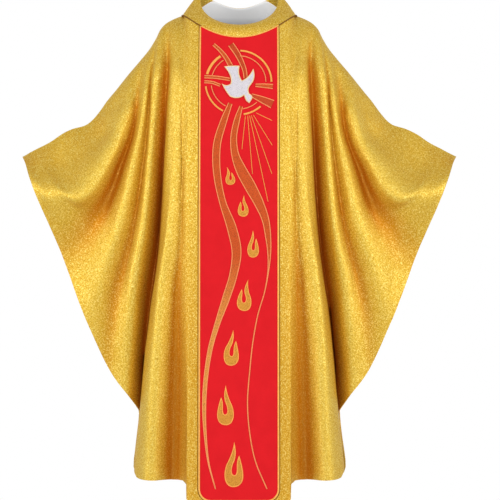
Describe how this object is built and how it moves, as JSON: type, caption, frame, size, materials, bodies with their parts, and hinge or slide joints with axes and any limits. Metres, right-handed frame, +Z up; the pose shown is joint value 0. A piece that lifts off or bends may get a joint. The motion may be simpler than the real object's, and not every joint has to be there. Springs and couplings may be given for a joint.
{
  "type": "chasuble",
  "caption": "Wide lined vestment in gold cloth with a folded collar and a red embroidered band down the front, shaped as worn with arms held out.",
  "frame": {"origin": "middle of the neck opening, level with the two highest points of the neckline, where the garment rests on the shoulders", "axes": "+X across the garment to the wearer's left, -Y out of the front, +Z up"},
  "size_m": [1.19, 0.3913, 1.3864],
  "materials": {
    "gold_lame": "metallic thread woven cloth with a fine glitter",
    "tape_canvas": "plain woven cotton",
    "lining_satin": "smooth satin",
    "red_cloth": "plain weave, slightly matte",
    "piping_satin": "satin bias over cord",
    "ribbon_thread": "fill stitching with a raised edge",
    "gold_thread": "satin stitch",
    "white_thread": "dense fill stitching"
  },
  "bodies": {
    "root": {"front_panel_right": "gold_lame", "front_panel_left": "gold_lame", "back_panel_right": "gold_lame", "back_panel_left": "gold_lame", "front_facing_right": "gold_lame", "front_facing_left": "gold_lame", "back_facing_right": "gold_lame", "back_facing_left": "gold_lame", "collar": "gold_lame", "front_neck_tape": "tape_canvas", "shoulder_tape_right": "tape_canvas", "shoulder_tape_left": "tape_canvas", "back_neck_tape": "tape_canvas", "front_orphrey_interlining": "tape_canvas", "back_orphrey_interlining": "tape_canvas", "collar_interlining": "tape_canvas", "front_lining": "lining_satin", "back_lining": "lining_satin", "collar_lining": "lining_satin", "front_orphrey": "red_cloth", "back_orphrey": "red_cloth", "front_piping": "piping_satin", "back_piping": "piping_satin", "neckline_piping": "piping_satin", "left_ribbon": "ribbon_thread", "right_ribbon": "ribbon_thread", "short_ribbon_1": "ribbon_thread", "short_ribbon_2": "ribbon_thread", "short_ribbon_3": "ribbon_thread", "short_ribbon_4": "ribbon_thread", "short_ribbon_5": "ribbon_thread", "short_ribbon_6": "ribbon_thread", "ring_band_1": "gold_thread", "ring_band_2": "gold_thread", "ring_band_3": "gold_thread", "ring_band_4": "gold_thread", "ring_line_1": "gold_thread", "ring_line_2": "gold_thread", "ring_line_3": "gold_thread", "ring_line_4": "gold_thread", "ray_1": "gold_thread", "ray_2": "gold_thread", "ray_3": "gold_thread", "ray_4": "gold_thread", "ray_5": "gold_thread", "ray_6": "gold_thread", "flame_1": "gold_thread", "flame_2": "gold_thread", "flame_3": "gold_thread", "flame_4": "gold_thread", "flame_5": "gold_thread", "flame_6": "gold_thread", "flame_7": "gold_thread", "dove": "white_thread"}
  },
  "joints": []
}
